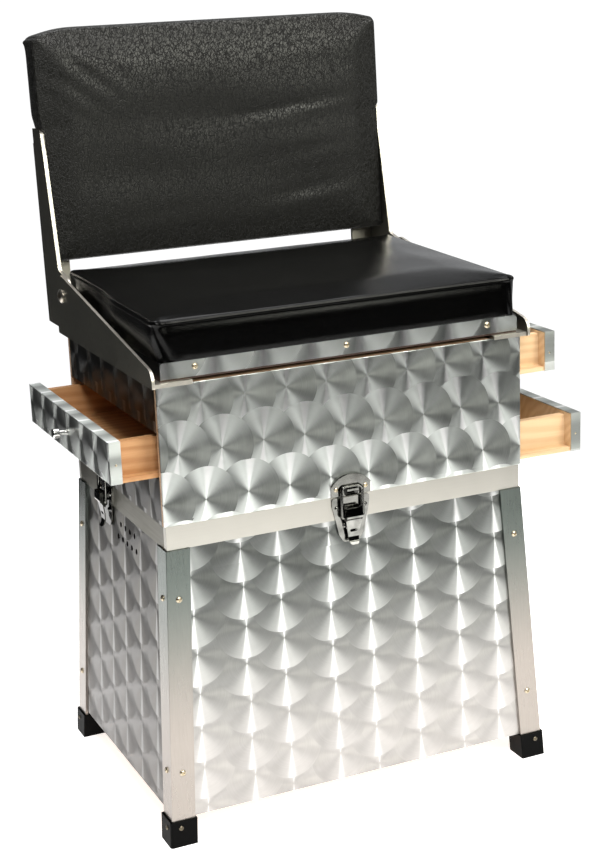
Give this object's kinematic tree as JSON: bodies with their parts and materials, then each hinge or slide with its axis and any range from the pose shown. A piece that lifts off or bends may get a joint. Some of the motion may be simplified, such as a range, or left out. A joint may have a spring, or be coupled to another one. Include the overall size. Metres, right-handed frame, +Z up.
{
  "type": "fishing seat box",
  "caption": "Fishing seat box: tapered metal bait bin, drawer unit above it with drawers to both sides, padded seat and fold-down backrest.",
  "frame": {"origin": "centre of the lowest face of the whole object's bounding box, on the ground", "axes": "+X to the right as seen from the front, +Y to the back, +Z up"},
  "size_m": [0.5594, 0.3674, 0.7937],
  "materials": {
    "spun_aluminium": "overlapping spun circles, polished",
    "plain_aluminium": "fine straight brushing",
    "foot_plastic": "moulded",
    "plywood": "unfinished board",
    "pine": "planed, clear sealed",
    "knob_steel": "polished",
    "black_vinyl": "grained, semi-gloss",
    "dull_steel": "satin, bright cut edges",
    "latch_chrome": "nickel plated",
    "screw_brass": "yellow zinc plated",
    "bolt_steel": "zinc plated"
  },
  "bodies": {
    "box": {"back_left_foot": "foot_plastic", "back_left_post": "plain_aluminium", "back_right_foot": "foot_plastic", "back_right_post": "plain_aluminium", "bin_back_panel": "spun_aluminium", "bin_floor": "plywood", "bin_front_panel": "spun_aluminium", "bin_left_panel": "spun_aluminium", "bin_right_panel": "spun_aluminium", "bin_screws": "screw_brass", "front_latch_base": "latch_chrome", "front_latch_keeper": "latch_chrome", "front_left_foot": "foot_plastic", "front_left_post": "plain_aluminium", "front_right_foot": "foot_plastic", "front_right_post": "plain_aluminium", "latch_pins": "latch_chrome", "latch_rivets": "latch_chrome", "left_blank_bottom": "spun_aluminium", "left_blank_top": "spun_aluminium", "left_latch_base": "latch_chrome", "left_latch_keeper": "latch_chrome", "pivot_bolts": "bolt_steel", "right_blank_middle": "spun_aluminium", "rim_back": "plain_aluminium", "rim_front": "plain_aluminium", "rim_left": "plain_aluminium", "rim_right": "plain_aluminium", "seat_board": "plywood", "seat_bracket_left": "dull_steel", "seat_bracket_right": "dull_steel", "seat_cushion": "black_vinyl", "seat_trim_strip": "spun_aluminium", "unit_back_panel": "spun_aluminium", "unit_bottom_board": "plywood", "unit_front_panel": "spun_aluminium", "unit_screws": "screw_brass", "unit_shelves": "plywood", "unit_top_board": "plywood", "unit_wall_boards": "plywood"},
    "bottom_drawer": {"bottom_drawer_box": "pine", "bottom_drawer_facing": "spun_aluminium", "bottom_drawer_knob": "knob_steel"},
    "middle_drawer": {"middle_drawer_box": "pine", "middle_drawer_facing": "spun_aluminium", "middle_drawer_knob": "knob_steel"},
    "top_drawer": {"top_drawer_box": "pine", "top_drawer_facing": "spun_aluminium", "top_drawer_knob": "knob_steel"},
    "backrest": {"backrest_arm_left": "dull_steel", "backrest_arm_right": "dull_steel", "backrest_board": "plywood", "backrest_cushion": "black_vinyl", "backrest_screws": "bolt_steel"},
    "front_lever": {"front_latch_lever": "latch_chrome"},
    "front_loop": {"front_latch_loop": "latch_chrome"},
    "left_lever": {"left_latch_lever": "latch_chrome"},
    "left_loop": {"left_latch_loop": "latch_chrome"}
  },
  "joints": [
    {"name": "bottom_drawer_slide", "type": "slide", "parent": "box", "child": "bottom_drawer", "axis": [1, 0, 0], "range_m": [-0.079, 0.221]},
    {"name": "middle_drawer_slide", "type": "slide", "parent": "box", "child": "middle_drawer", "axis": [-1, 0, 0], "range_m": [-0.0485, 0.2515]},
    {"name": "top_drawer_slide", "type": "slide", "parent": "box", "child": "top_drawer", "axis": [1, 0, 0], "range_m": [-0.046, 0.254]},
    {"name": "backrest_fold", "type": "hinge", "parent": "box", "child": "backrest", "pos_m": [-0.01525, 0.10328, 0.516], "axis": [1, 0, 0], "range_deg": [0, 90]},
    {"name": "front_lever_hinge", "type": "hinge", "parent": "box", "child": "front_lever", "pos_m": [-0.01525, -0.17072, 0.318], "axis": [-1, 0, 0], "range_deg": [0, 120]},
    {"name": "front_loop_hinge", "type": "hinge", "parent": "front_lever", "child": "front_loop", "pos_m": [-0.01525, -0.16972, 0.31], "axis": [-1, 0, 0], "range_deg": [-120, 0]},
    {"name": "left_lever_hinge", "type": "hinge", "parent": "box", "child": "left_lever", "pos_m": [-0.22025, 0.01728, 0.318], "axis": [0, 1, 0], "range_deg": [0, 120]},
    {"name": "left_loop_hinge", "type": "hinge", "parent": "left_lever", "child": "left_loop", "pos_m": [-0.21925, 0.01728, 0.31], "axis": [0, 1, 0], "range_deg": [-120, 0]}
  ],
  "couplings": [
    {"joint": "front_loop_hinge", "follows": "front_lever_hinge", "ratio": -1},
    {"joint": "left_loop_hinge", "follows": "left_lever_hinge", "ratio": -1}
  ]
}
